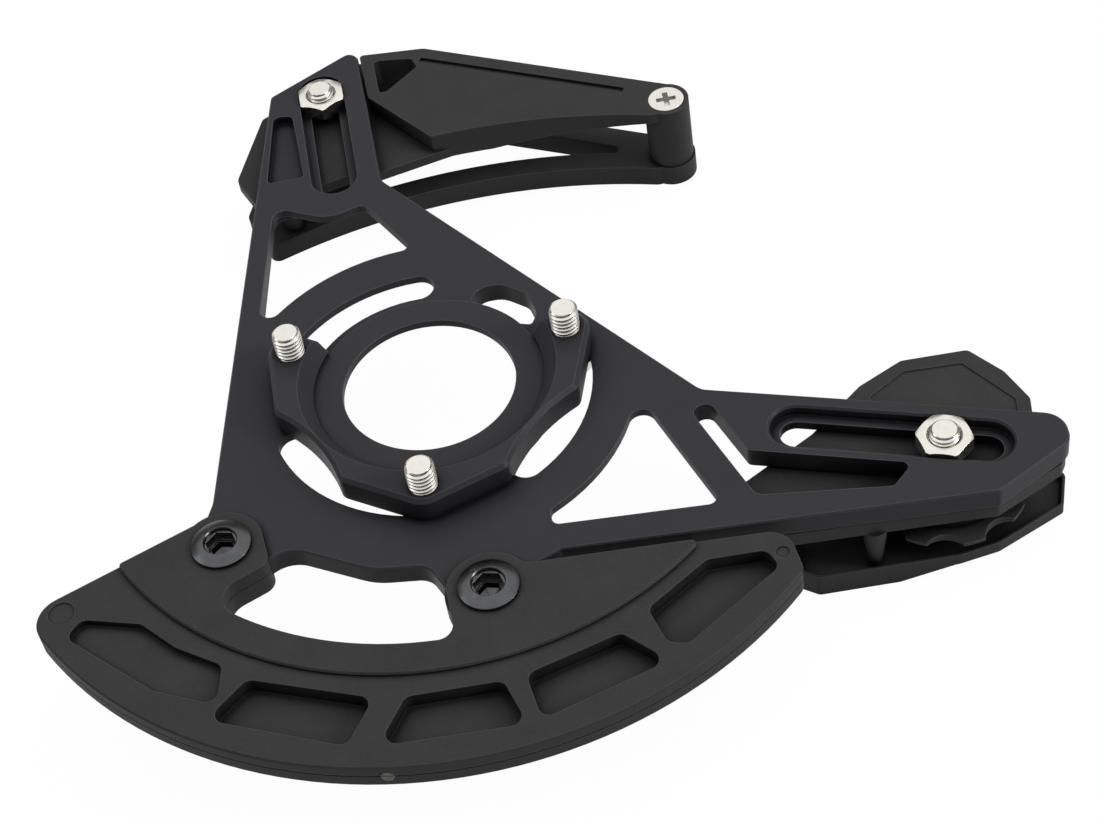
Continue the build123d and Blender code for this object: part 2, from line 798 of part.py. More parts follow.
# Each bash guard screw threads into a sleeve nut from the outboard side
for number, place in enumerate(bash_screw_places, start=1):
    with BuildPart() as bash_screw:
        with Locations((*place, bash_raised_height)):
            Cylinder(bash_flange_radius, bash_flange_height, align=upright)
        flange_edge = bash_screw.edges().sort_by(Axis.Z)[-1]
        chamfer(flange_edge, bash_flange_slope_height, length2=bash_flange_slope_width)
        with Locations((*place, bash_raised_height)):
            Cylinder(bash_screw_radius, bash_raised_height - bash_pad_bottom - flat_gap, align=hanging)
        with BuildSketch(Plane((*place, bash_raised_height + bash_flange_height))):
            RegularPolygon(bash_socket_flats / 2, 6, major_radius=False)
        extrude(amount=-bash_socket_depth, mode=Mode.SUBTRACT)
    bash_screw.part.label = f"bash_screw_{number}"
    export_step(bash_screw.part, f"parts/bash_screw_{number}.step")
    with BuildPart() as sleeve_nut:
        with Locations((*place, bash_pad_bottom)):
            Cylinder(sleeve_flange_radius, sleeve_flange_height, align=hanging)
            Cylinder(sleeve_radius, bash_raised_height - sleeve_top_gap - bash_pad_bottom, align=upright)
        with BuildSketch(Plane((*place, bash_pad_bottom - sleeve_flange_height))):
            Rectangle(2 * sleeve_flange_radius, sleeve_slot_width)
        extrude(amount=sleeve_slot_depth, mode=Mode.SUBTRACT)
        with BuildSketch(Plane((*place, bash_pad_bottom - sleeve_flange_height))):
            Circle(bash_screw_radius + thread_gap)
        extrude(amount=bash_raised_height - bash_pad_bottom + sleeve_flange_height, mode=Mode.SUBTRACT)
    sleeve_nut.part.label = f"bash_sleeve_nut_{number}"
    export_step(sleeve_nut.part, f"parts/bash_sleeve_nut_{number}.step")


# Upper guide: both cheeks share one outline, arched over the chain
diagonal_step = unit_step(arm_corner, diagonal_foot)
clear_step = unit_step((0, 0), (1 - diagonal_step[1], diagonal_step[0]))
corner_at_rest = shifted(arm_corner, upper_step, -upper_travel - cheek_end_gap)
raised_corner = shifted(corner_at_rest, clear_step, cheek_side_gap)
raised_top = shifted(arm_tip, clear_step, cheek_side_gap)
raised_foot = shifted(raised_corner, diagonal_step, upper_travel)
counterbore_depth = head_height + head_sink
upper_arc_centre = (upper_arc_crown[0], upper_arc_crown[1] - upper_arc_radius)
window_arc_radius = upper_arc_radius + upper_band_width
window_end = rise_to_circle(window_end_place, upper_arc_centre, window_arc_radius)
window_left = rise_to_circle(upper_outer_window[0][0], upper_arc_centre, window_arc_radius)
with BuildSketch() as upper_shape:
    rounded_face(upper_outline)
    with Locations(upper_arc_centre):
        Circle(upper_arc_radius, mode=Mode.SUBTRACT)
    round_corners(upper_shape, upper_near_rounds)
    with Locations(pillar_place):
        Circle(pillar_end_radius)
with BuildSketch() as raised_cheek_shape:
    add(upper_shape.sketch)
    plain_face(
        [
            shifted(raised_top, unit_step(raised_corner, raised_top), upper_travel),
            raised_corner,
            raised_foot,
            shifted(raised_foot, (0, -1), upper_travel),
            shifted(raised_corner, (-1, -1), 2 * upper_travel),
            shifted(raised_top, (-2, 1), upper_travel),
        ],
        mode=Mode.SUBTRACT,
    )
    round_corners(raised_cheek_shape, [(raised_top, cheek_corner_round)])
groove_step = unit_step(groove_start, groove_end)
groove_side = (groove_step[1], -groove_step[0], 0)
with BuildPart() as upper_inner_cheek:
    with BuildSketch(Plane.XY.offset(upper_tongue_bottom)):
        add(upper_shape.sketch)
        plain_face(upper_fill)
        plain_face(upper_far_fill)
    extrude(amount=cheek_top - upper_tongue_bottom)
    with BuildSketch(Plane.XY.offset(cheek_top)):
        add(raised_cheek_shape.sketch)
    extrude(amount=-cheek_top)
    with BuildSketch(Plane.XZ):
        plain_face(
            [
                (upper_flare_start, upper_tongue_bottom),
                (upper_flare_end, -upper_tip_thickness),
                (2 * upper_flare_end, -upper_tip_thickness),
                (2 * upper_flare_end, upper_tongue_bottom),
            ]
        )
    extrude(amount=-2 * pillar_place[1], mode=Mode.SUBTRACT)
    with BuildSketch(Plane((*groove_start, 0), x_dir=groove_side, z_dir=(*groove_step, 0))):
        plain_face([(0, 0), (0, groove_depth), (groove_width, 0)])
    extrude(amount=span(groove_start, groove_end), mode=Mode.SUBTRACT)
    with BuildSketch():
        rounded_face(upper_hole)
    extrude(amount=upper_tongue_bottom, mode=Mode.SUBTRACT)
    with Locations(pillar_place):
        Cylinder(pillar_end_radius, -upper_outer_top, align=hanging)
    with BuildSketch(Plane.XY.offset(upper_outer_top + flat_gap)):
        plain_face(upper_rib)
    extrude(amount=upper_channel_width - flat_gap)
    with Locations((*post_place, upper_tongue_bottom)):
        Cone(post_foot_radius, post_top_radius, upper_tongue_bottom - upper_outer_top, align=hanging)
    with Locations(pillar_place):
        CounterSinkHole(
            pillar_screw_radius + screw_gap,
            pillar_head_radius + screw_gap,
            counter_sink_angle=countersink_angle,
        )
    with Locations(upper_bolt_place):
        Hole(clamp_radius + screw_gap)
upper_inner_cheek.part.label = "upper_inner_cheek"
export_step(upper_inner_cheek.part, "parts/upper_inner_cheek.step")

with BuildPart() as upper_outer_cheek:
    with BuildSketch(Plane.XY.offset(upper_outer_bottom)):
        add(upper_shape.sketch)
        with Locations(pillar_place):
            Circle(pillar_end_radius + pillar_foot_margin)
    extrude(amount=upper_outer_top - upper_outer_bottom)
    with BuildSketch(Plane.XY.offset(upper_outer_bottom)) as outer_window:
        rounded_face(
            [
                *upper_outer_window,
                (*shifted(window_end, (0, 1), window_end_height), window_end_round),
                (*shifted(window_end, (0, -1), window_end_height), window_end_round),
            ]
        )
        with Locations(upper_arc_centre):
            Circle(window_arc_radius, mode=Mode.SUBTRACT)
        round_corners(outer_window, [(window_end, window_near_round), (window_left, window_left_round)])
    extrude(amount=upper_outer_thickness, mode=Mode.SUBTRACT)
    with Locations((*upper_bolt_place, upper_outer_top)):
        Cylinder(upper_spacer_radius, upper_tongue_bottom - upper_outer_top, align=upright)
    with BuildSketch(Plane.XY.offset(upper_outer_bottom)):
        with Locations(upper_bolt_place):
            Circle(head_radius + head_room)
    extrude(amount=counterbore_depth, mode=Mode.SUBTRACT)
    with BuildSketch(Plane.XY.offset(upper_outer_bottom)):
        with Locations(pillar_place):
            RegularPolygon(pillar_nut_flats / 2 + nut_room, 6, major_radius=False)
    extrude(amount=pillar_nut_height, mode=Mode.SUBTRACT)
    with Locations(upper_bolt_place):
        Hole(clamp_radius + screw_gap)
    with Locations(pillar_place):
        Hole(pillar_screw_radius + screw_gap)
upper_outer_cheek.part.label = "upper_outer_cheek"
export_step(upper_outer_cheek.part, "parts/upper_outer_cheek.step")

pillar_cone_height = (pillar_head_radius - pillar_screw_radius) / tan(radians(countersink_angle / 2))
with BuildPart() as pillar_screw:
    with Locations(pillar_place):
        Cylinder(pillar_screw_radius, -upper_outer_bottom, align=hanging)
        Cone(pillar_screw_radius, pillar_head_radius, pillar_cone_height, align=hanging)
    with BuildSketch(Plane(pillar_place)):
        Rectangle(pillar_cross_length, pillar_cross_width)
        Rectangle(pillar_cross_width, pillar_cross_length)
    extrude(amount=-pillar_cross_depth, mode=Mode.SUBTRACT)
pillar_screw.part.label = "pillar_screw"
export_step(pillar_screw.part, "parts/pillar_screw.step")

hex_nut(
    "pillar_nut",
    pillar_place,
    upper_outer_bottom,
    pillar_nut_flats,
    pillar_nut_height,
    pillar_screw_radius + thread_gap,
    0,
)
button_bolt(
    "upper_clamp_bolt",
    upper_bolt_place,
    upper_outer_bottom + counterbore_depth,
    cheek_top,
    ledge_height + clamp_nut_height + clamp_reach,
    clamp_radius,
    clamp_radius,
)
hex_nut(
    "upper_clamp_nut",
    upper_bolt_place,
    ledge_height,
    clamp_nut_flats,
    clamp_nut_height,
    clamp_radius + thread_gap,
    degrees(atan2(upper_step[1], upper_step[0])),
)


# Lower guide: the inner cheek slides under the lower arm and carries the pulley and the outer cheek
with BuildSketch() as lower_inner_shape:
    rounded_face(lower_inner_outline)
with BuildSketch() as groove_shape:
    rounded_face(lower_groove)
with BuildSketch() as tray_shape:
    rounded_face(lower_outer_outline)
    offset(amount=-lower_rim_width)
with BuildPart() as lower_inner_cheek:
    raise_shape(lower_inner_shape.sketch, lower_inner_bottom, cheek_top, lower_edge_break)
    groove_floor = Plane.XY.offset(cheek_top - groove_depth) * groove_shape.sketch
    extrude(groove_floor, amount=groove_depth, mode=Mode.SUBTRACT)
    extrude(groove_floor, amount=groove_depth, taper=lower_groove_angle)
    with Locations((*axle_place, lower_inner_bottom)):
        Cylinder(axle_boss_radius, lower_inner_bottom - bearing_top, align=hanging)
    with Locations((*lower_post_place, lower_inner_bottom)):
        Cone(
            lower_post_foot_radius,
            lower_post_top_radius,
            lower_inner_bottom - lower_tray_floor,
            align=hanging,
        )
    with Locations(axle_place):
        Hole(clamp_radius + screw_gap)
lower_inner_cheek.part.label = "lower_inner_cheek"
export_step(lower_inner_cheek.part, "parts/lower_inner_cheek.step")

with BuildPart() as lower_outer_cheek:
    with BuildSketch(Plane.XY.offset(lower_outer_bottom)):
        rounded_face(lower_outer_outline)
    extrude(amount=lower_outer_top - lower_outer_bottom)
    tray_opening = Plane.XY.offset(lower_outer_top) * tray_shape.sketch
    extrude(tray_opening, amount=-lower_tray_depth, taper=lower_tray_angle, mode=Mode.SUBTRACT)
    with BuildSketch(Plane.XZ):
        plain_face(
            [
                (lower_bevel_start, lower_outer_bottom),
                (lower_bevel_end, lower_tip_bottom),
                (2 * lower_bevel_end, lower_tip_bottom),
                (2 * lower_bevel_end, lower_outer_bottom),
            ]
        )
    extrude(amount=2 * lower_bevel_end, mode=Mode.SUBTRACT)
    with Locations((*axle_place, lower_outer_top)):
        Cylinder(axle_pad_radius, lower_outer_top - lower_outer_bottom, align=hanging)
        Cylinder(axle_boss_radius, bearing_bottom - lower_outer_top, align=upright)
    with BuildSketch(Plane.XY.offset(lower_outer_bottom)):
        with Locations(axle_place):
            Circle(head_radius + head_room)
    extrude(amount=counterbore_depth, mode=Mode.SUBTRACT)
    with Locations(axle_place):
        Hole(clamp_radius + screw_gap)
lower_outer_cheek.part.label = "lower_outer_cheek"
export_step(lower_outer_cheek.part, "parts/lower_outer_cheek.step")

button_bolt(
    "axle_bolt",
    axle_place,
    lower_outer_bottom + counterbore_depth,
    cheek_top,
    ledge_height + clamp_nut_height + clamp_reach,
    clamp_radius,
    clamp_radius,
)
hex_nut(
    "axle_nut",
    axle_place,
    ledge_height,
    clamp_nut_flats,
    clamp_nut_height,
    clamp_radius + thread_gap,
    degrees(atan2(lower_step[1], lower_step[0])),
)


# Pulley: nine teeth cut for a half inch chain, on a sealed ball bearing
pitch_radius = chain_pitch / 2 / sin(radians(180 / pulley_teeth))
with BuildPart() as pulley:
    with BuildSketch(Plane((*axle_place, pulley_middle))):
        Circle(pulley_tip_radius)
        with PolarLocations(pitch_radius, pulley_teeth, start_angle=pulley_phase):
            Circle(roller_seat_radius, mode=Mode.SUBTRACT)
    extrude(amount=pulley_tooth_width / 2, both=True)
    with BuildSketch(Plane((*axle_place, pulley_middle), x_dir=(1, 0, 0), z_dir=(0, -1, 0))):
        plain_face(
            [
                (0, -pulley_tooth_width / 2),
                (pulley_bevel_radius, -pulley_tooth_width / 2),
                (pulley_tip_radius, -pulley_tip_width / 2),
                (pulley_tip_radius, pulley_tip_width / 2),
                (pulley_bevel_radius, pulley_tooth_width / 2),
                (0, pulley_tooth_width / 2),
            ]
        )
    revolve(axis=Axis((*axle_place, pulley_middle), (0, 0, 1)), mode=Mode.INTERSECT)
    with Locations((*axle_place, pulley_middle)):
        Cylinder(pulley_hub_radius, bearing_width)
        Cylinder(bearing_radius + press_gap, bearing_width, mode=Mode.SUBTRACT)
pulley.part.label = "pulley"
export_step(pulley.part, "parts/pulley.step")

with BuildPart() as bearing_outer_race:
    with Locations((*axle_place, pulley_middle)):
        Cylinder(bearing_radius, bearing_width)
        Cylinder(inner_race_radius + race_gap, bearing_width, mode=Mode.SUBTRACT)
bearing_outer_race.part.label = "bearing_outer_race"
export_step(bearing_outer_race.part, "parts/bearing_outer_race.step")

with BuildPart() as bearing_inner_race:
    with Locations((*axle_place, pulley_middle)):
        Cylinder(inner_race_radius, bearing_width)
        Cylinder(clamp_radius + thread_gap, bearing_width, mode=Mode.SUBTRACT)
bearing_inner_race.part.label = "bearing_inner_race"
export_step(bearing_inner_race.part, "parts/bearing_inner_race.step")
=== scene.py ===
from math import atan2, cos, hypot, pi, radians, sin

import bpy
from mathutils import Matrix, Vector


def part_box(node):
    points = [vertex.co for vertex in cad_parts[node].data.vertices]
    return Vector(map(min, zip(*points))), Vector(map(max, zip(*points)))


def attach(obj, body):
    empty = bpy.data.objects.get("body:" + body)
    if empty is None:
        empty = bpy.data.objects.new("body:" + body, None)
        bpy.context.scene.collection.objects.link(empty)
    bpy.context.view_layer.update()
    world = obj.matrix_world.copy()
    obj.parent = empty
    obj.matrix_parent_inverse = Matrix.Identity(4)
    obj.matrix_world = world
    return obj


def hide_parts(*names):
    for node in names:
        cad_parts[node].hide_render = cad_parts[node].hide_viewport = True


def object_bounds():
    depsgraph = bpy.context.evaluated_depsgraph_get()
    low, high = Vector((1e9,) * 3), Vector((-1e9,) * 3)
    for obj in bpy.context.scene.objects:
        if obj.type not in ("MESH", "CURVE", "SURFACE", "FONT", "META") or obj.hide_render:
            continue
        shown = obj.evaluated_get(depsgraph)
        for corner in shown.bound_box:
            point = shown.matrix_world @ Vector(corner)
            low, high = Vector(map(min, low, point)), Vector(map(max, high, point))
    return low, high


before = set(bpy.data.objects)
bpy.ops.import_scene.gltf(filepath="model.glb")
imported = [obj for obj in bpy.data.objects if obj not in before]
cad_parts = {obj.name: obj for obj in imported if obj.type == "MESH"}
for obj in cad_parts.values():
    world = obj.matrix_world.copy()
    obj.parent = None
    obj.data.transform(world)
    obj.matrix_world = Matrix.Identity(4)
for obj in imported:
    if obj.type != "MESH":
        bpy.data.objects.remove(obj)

cad_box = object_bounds()

# Backplate: a flat aluminium plate, milled to outline with its windows, slots and thinned web,
# then bead blasted and black anodised. It carries everything else.
MM = 0.001


class Wire:
    """A shader value. Arithmetic on wires adds Math nodes to their tree."""

    def __init__(self, tree, socket=None):
        self.tree = tree
        self.socket = socket

    def add(self, kind, settings, inputs, output=0):
        """Add a node, settings first and then socket values or links, and give one output"""
        node = self.tree.nodes.new("ShaderNode" + kind)
        for name, value in settings.items():
            setattr(node, name, value)
        for name, value in inputs.items():
            if isinstance(value, Wire):
                self.tree.links.new(value.socket, node.inputs[name])
            else:
                node.inputs[name].default_value = value
        return Wire(self.tree, node.outputs[output])

    def math(self, operation, first, second):
        return self.add("Math", {"operation": operation}, {0: first, 1: second})

    def __add__(self, other):
        return self.math("ADD", self, other)

    __radd__ = __add__

    def __mul__(self, other):
        return self.math("MULTIPLY", self, other)

    __rmul__ = __mul__

    def __sub__(self, other):
        return self.math("SUBTRACT", self, other)

    def __rsub__(self, other):
        return self.math("SUBTRACT", other, self)

    def noise(self, size_mm, detail=2.0):
        """Cloudy noise from 0 to 1 with features of about this size, self being the place"""
        scale = 1 / (size_mm * MM)
        return self.add("TexNoise", {}, {"Vector": self, "Scale": scale, "Detail": detail}, "Fac")

    def between(self, low, high):
        """Colour that goes from low to high as self goes from 0 to 1"""
        return self.add(
            "Mix", {"data_type": "RGBA"}, {"Factor": self, 6: (*low, 1), 7: (*high, 1)}, 2
        )

    def toward(self, colour, share):
        """This colour moved towards another by a share from 0 to 1"""
        return self.add("Mix", {"data_type": "RGBA"}, {"Factor": share, 6: self, 7: (*colour, 1)}, 2)

    def near(self, spot_mm, reach_mm, ragged):
        """1 within a reach of a spot and 0 beyond it, with a ragged edge"""
        spot = [part * MM for part in spot_mm]
        fray = 0.5 * MM
        away = self.add("VectorMath", {"operation": "DISTANCE"}, {0: self, 1: spot}, "Value")
        return self.math("LESS_THAN", away + fray * ragged, reach_mm * MM + fray / 2)

    def feed(self, shader, name):
        self.tree.links.new(self.socket, shader.inputs[name])


def new_finish(name):
    """A material's shader and the wire that says where on the part a point lies"""
    material = bpy.data.materials.new(name)
    material.use_nodes = True
    tree = material.node_tree
    place = Wire(tree).add("TexCoord", {}, {}, "Object")
    return material, tree.nodes["Principled BSDF"], place


def soften(place, shader, height, depth_mm, edge_mm):
    """Bump from a height and rounded light along sharp edges"""
    rounded = place.add("Bevel", {"samples": 6}, {"Radius": edge_mm * MM})
    bump = place.add(
        "Bump", {}, {"Height": height, "Distance": depth_mm * MM, "Strength": 1.0, "Normal": rounded}
    )
    bump.feed(shader, "Normal")


def painted_shade_and_highlight(place, colour, dark, pale, edge_mm):
    """The colour with painted shade deep in slots and corners and a painted highlight along outer edges
    """
    flat = place.add("NewGeometry", {}, {}, "True Normal")
    rounded = place.add("Bevel", {"samples": 6}, {"Radius": edge_mm * MM})
    alike = place.add("VectorMath", {"operation": "DOT_PRODUCT"}, {0: flat, 1: rounded}, "Value")
    corner_reach = 1.5 * MM
    slot_reach = 9.0 * MM
    open_near = place.add("AmbientOcclusion", {"samples": 6}, {"Distance": corner_reach}, "AO")
    open_wide = place.add("AmbientOcclusion", {"samples": 6}, {"Distance": slot_reach}, "AO")
    dark_gain = 1.9
    dark_onset = 0.86
    pale_gain = 4.0
    # Painted shade: the colour darkens where little open space is near, as deep in slots and corners
    sunk = dark_gain * (dark_onset - open_near * open_wide)
    # Painted highlight: the colour pales along outer edges, where the rounded normal leans away from
    # the true one
    edge = pale_gain * (1 - alike) * (2 * open_near - 1)
    return colour.toward(dark, sunk).toward(pale, edge)


def dress(node, material):
    """Give a CAD node its material"""
    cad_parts[node].data.materials.clear()
    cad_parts[node].data.materials.append(material)


anodised, shader, place = new_finish("anodised")
blast = place.noise(0.22)
cloud = place.noise(14.0, 3.0)
shade = 0.65 * cloud + 0.35 * blast
black = shade.between((0.0245, 0.024, 0.0278), (0.034, 0.0335, 0.0372))
# Painted shade in slots and corners and a painted highlight along outer edges go into the plate's base
# colour
painted_shade_and_highlight(place, black, (0.004, 0.004, 0.005), (0.125, 0.126, 0.134), 0.35).feed(shader, "Base Color")
(0.35 + 0.08 * cloud + 0.08 * blast).feed(shader, "Roughness")
shader.inputs["Specular IOR Level"].default_value = 0.1
soften(place, shader, blast, 0.012, 0.3)
dress("backplate", anodised)

# Adapter ring: turned and milled from aluminium, anodised with the plate. Its three lobes hold the
# bolts, and the thin lip goes behind the bottom bracket cup.
dress("adapter_ring", anodised)

# Ring bolts: M6 button head bolts of zinc plated steel. They come through the plate and the ring,
# and their threads stand out towards the frame tabs.
plated, shader, place = new_finish("zinc_plate")
cloud = place.noise(1.2, 3.0)
grain = place.noise(0.15)
cloud.between((0.60, 0.58, 0.535), (0.73, 0.71, 0.66)).feed(shader, "Base Color")
(0.20 + 0.10 * cloud + 0.06 * grain).feed(shader, "Roughness")
shader.inputs["Metallic"].default_value = 1.0
soften(place, shader, grain, 0.002, 0.12)


# A level counts as met within a hair, and a face as central when its middle is this close to the axis
HAIR = 0.01 * MM
CENTRAL = 0.1 * MM


def only_select(piece):
    """Select one piece and make it the active one"""
    bpy.ops.object.select_all(action="DESELECT")
    piece.select_set(True)
    bpy.context.view_layer.objects.active = piece


def pick(piece, mode, test):
    """In edit mode, select only the vertices, edges or faces whose middle passes the test"""
    bpy.ops.object.mode_set(mode="EDIT")
    bpy.ops.mesh.select_mode(type=mode)
    bpy.ops.mesh.select_all(action="DESELECT")
    bpy.ops.object.mode_set(mode="OBJECT")
    mesh = piece.data
    parts = {"VERT": mesh.vertices, "EDGE": mesh.edges, "FACE": mesh.polygons}[mode]
    for part in parts:
        if mode == "VERT":
            middle = part.co
        else:
            middle = sum((mesh.vertices[i].co for i in part.vertices), Vector()) / len(part.vertices)
        part.select = test(middle)
    bpy.ops.object.mode_set(mode="EDIT")


def threaded_rod(name, radius, pitch, low, high, tip):
    """A screw thread about the Z axis, cut flat at both ends and chamfered at its tip"""
    depth = 0.46 * pitch
    run_in = 1.49 * pitch
    bpy.ops.object.select_all(action="DESELECT")
    bpy.ops.mesh.primitive_plane_add(size=pitch, location=(radius, 0, low), rotation=(pi / 2, 0, 0))
    rod = bpy.context.object
    rod.name = name
    bpy.ops.object.transform_apply(location=True, rotation=True, scale=True)
    pick(rod, "VERT", lambda point: point.x > radius)
    bpy.ops.mesh.delete(type="VERT")
    bpy.ops.mesh.select_all(action="SELECT")
    bpy.ops.mesh.subdivide(number_cuts=4)
    bpy.ops.object.mode_set(mode="OBJECT")
    profile = ((0.0, 0), (0.125, 0), (0.42, depth), (0.58, depth), (0.875, 0), (1.0, 0))
    for vertex, (turn, sunk) in zip(sorted(rod.data.vertices, key=lambda v: v.co.z), profile):
        vertex.co = (radius - sunk, 0, low + turn * pitch - run_in)
    screw = rod.modifiers.new("thread", "SCREW")
    screw.axis = "Z"
    screw.screw_offset = pitch
    screw.iterations = int((high - low) / pitch) + 4
    screw.steps = screw.render_steps = 40
    screw.use_merge_vertices = True
    screw.merge_threshold = 0.001 * MM
    only_select(rod)
    bpy.ops.object.modifier_apply(modifier="thread")
    bpy.ops.object.mode_set(mode="EDIT")
    bpy.ops.mesh.select_all(action="SELECT")
    bpy.ops.mesh.remove_doubles(threshold=0.002 * MM)
    bpy.ops.object.mode_set(mode="OBJECT")
    for vertex in rod.data.vertices:
        reach = hypot(vertex.co.x, vertex.co.y)
        wanted = min(reach, radius - max(0, vertex.co.z - (high - tip)))
        if vertex.co.z > high:
            wanted = radius - tip
        if vertex.co.z < low:
            wanted = radius - depth
        vertex.co.x *= wanted / reach
        vertex.co.y *= wanted / reach
        vertex.co.z = max(low, min(high, vertex.co.z))
    bpy.ops.object.mode_set(mode="EDIT")
    bpy.ops.mesh.select_all(action="SELECT")
    bpy.ops.mesh.remove_doubles(threshold=HAIR)
    bpy.ops.mesh.dissolve_degenerate(threshold=0.001 * MM)
    bpy.ops.mesh.select_all(action="SELECT")
    bpy.ops.mesh.fill_holes(sides=0)
    bpy.ops.mesh.select_all(action="SELECT")
    bpy.ops.mesh.normals_make_consistent(inside=False)
    bpy.ops.object.mode_set(mode="OBJECT")
    return rod


def on_hexagon(point, flats, turn=0.0):
    """The point moved in or out onto a hexagon about the Z axis, one flat facing the turn"""
    angle = atan2(point.y, point.x)
    off = (angle - turn + pi / 6) % (pi / 3) - pi / 6
    reach = flats / 2 / cos(off)
    return Vector((reach * cos(angle), reach * sin(angle), point.z))


def button_head(name, radius, low, seat, rounding, flats, depth):
    """A button head below its seat, with a hexagon socket in its underside"""
    bpy.ops.object.select_all(action="DESELECT")
    middle = (0, 0, (low + seat) / 2)
    bpy.ops.mesh.primitive_cylinder_add(vertices=48, radius=radius, depth=seat - low, location=middle)
    head = bpy.context.object
    head.name = name
    bpy.ops.object.transform_apply(location=True, rotation=True, scale=True)
    pick(head, "EDGE", lambda point: point.z < low + HAIR)
    bpy.ops.mesh.bevel(offset=rounding, segments=5)
    bpy.ops.object.mode_set(mode="OBJECT")
    pick(head, "FACE", lambda point: point.z < low + HAIR and hypot(point.x, point.y) < CENTRAL)
    socket_room = 0.2 * MM
    bpy.ops.mesh.inset(thickness=radius - rounding - flats / 2 - socket_room)
    bpy.ops.object.mode_set(mode="OBJECT")
    rim = flats / 2 + 2 * socket_room
    for vertex in head.data.vertices:
        if vertex.co.z < low + HAIR and hypot(vertex.co.x, vertex.co.y) < rim:
            vertex.co = on_hexagon(vertex.co, flats)
    pick(head, "FACE", lambda point: point.z < low + HAIR and hypot(point.x, point.y) < CENTRAL)
    bpy.ops.mesh.extrude_region_move(TRANSFORM_OT_translate={"value": (0, 0, depth)})
    bpy.ops.object.mode_set(mode="OBJECT")
    return head


def finish_piece(piece, material, body, slot_name, *nodes):
    only_select(piece)
    bpy.ops.object.shade_smooth_by_angle(angle=radians(28))
    piece.data.materials.clear()
    piece.data.materials.append(material)
    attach(piece, body)
    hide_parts(*nodes)


def move_onto(piece, node):
    """Move a piece made about the Z axis sideways onto a CAD node, in its mesh"""
    low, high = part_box(node)
    only_select(piece)
    bpy.ops.object.mode_set(mode="EDIT")
    bpy.ops.mesh.select_all(action="SELECT")
    bpy.ops.transform.translate(value=((low.x + high.x) / 2, (low.y + high.y) / 2, 0))
    bpy.ops.object.mode_set(mode="OBJECT")


thread_radius = 2.95 * MM
thread_pitch = 1.0 * MM
tip_chamfer = 0.6 * MM
head_radius = 5.25 * MM
head_height = 3.3 * MM
head_round = 1.6 * MM
key_flats = 4.0 * MM
key_depth = 2.2 * MM
head_overlap = 0.4 * MM


def machine_bolt(name, node, body):
    """A threaded button head bolt in the place of a CAD bolt"""
    low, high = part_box(node)
    seat = low.z + head_height
    rod = threaded_rod(name, thread_radius, thread_pitch, seat - head_overlap, high.z, tip_chamfer)
    head = button_head("head", head_radius, low.z, seat, head_round, key_flats, key_depth)
    only_select(head)
    rod.select_set(True)
    bpy.context.view_layer.objects.active = rod
    bpy.ops.object.join()
    move_onto(rod, node)
    finish_piece(rod, plated, body, "zinc", node)


for number in (1, 2, 3):
    machine_bolt(f"ring_bolt_threaded_{number}", f"ring_bolt_{number}", "ring")

# Bash guard: two moulded halves of black glass filled nylon, closed round the plate's tabs. The
# inner half has deep pockets along its rim to save weight.
nylon, shader, place = new_finish("nylon")
grain = place.noise(0.5, 3.0)
cloud = place.noise(9.0, 3.0)
black = (0.5 * cloud + 0.5 * grain).between((0.016, 0.0164, 0.016), (0.042, 0.0424, 0.041))
gate = place.near((-16.95, -88.88, -2.4), 1.25, grain)
# Beside the gate pip a dark crescent is painted
dark_crescent = place.near((-17.5, -88.8, -1.75), 1.0, grain) - gate
# Painted shade in pockets and corners and a painted highlight along outer edges go into the nylon's
# base colour
black = painted_shade_and_highlight(place, black, (0.005, 0.005, 0.005), (0.09, 0.09, 0.088), 0.35)
black.toward((0.21, 0.20, 0.175), gate).toward((0.004, 0.004, 0.004), dark_crescent).feed(shader, "Base Color")
(0.46 + 0.12 * grain + 0.08 * cloud).feed(shader, "Roughness")
shader.inputs["Specular IOR Level"].default_value = 0.14
soften(place, shader, grain + 6.0 * gate * grain, 0.03, 0.35)
dress("bash_inner_half", nylon)
dress("bash_outer_half", nylon)

# Bash guard screws and sleeve nuts: black oxide steel, as used on chainrings. Each screw threads
# into its sleeve from the frame side.
black_oxide, shader, place = new_finish("black_oxide")
cloud = place.noise(1.5, 3.0)
cloud.between((0.065, 0.066, 0.068), (0.105, 0.106, 0.109)).feed(shader, "Base Color")
(0.22 + 0.10 * cloud).feed(shader, "Roughness")
shader.inputs["Metallic"].default_value = 1.0
soften(place, shader, cloud, 0.004, 0.15)


def rise(radius, steps):
    """From a selected round face go on ring by ring, each step a new radius and a lift in mm"""
    for reach, lift in steps:
        bpy.ops.mesh.extrude_region_move(TRANSFORM_OT_translate={"value": (0, 0, lift * MM)})
        bpy.ops.transform.resize(value=(reach / radius, reach / radius, 1))
        radius = reach


def end_face(piece, top):
    """In edit mode, select only the round face at a piece's top or bottom end"""
    heights = [vertex.co.z for vertex in piece.data.vertices]
    level = max(heights) if top else min(heights)
    pick(piece, "FACE", lambda point: abs(point.z - level) < HAIR and hypot(point.x, point.y) < CENTRAL)


def round_bar(name, radius_mm, low, high):
    """A plain bar about the Z axis that the turned pieces start from"""
    bpy.ops.object.select_all(action="DESELECT")
    bpy.ops.mesh.primitive_cylinder_add(
        vertices=48, radius=radius_mm * MM, depth=high - low, location=(0, 0, (low + high) / 2)
    )
    bar = bpy.context.object
    bar.name = name
    bpy.ops.object.transform_apply(location=True, rotation=True, scale=True)
    return bar


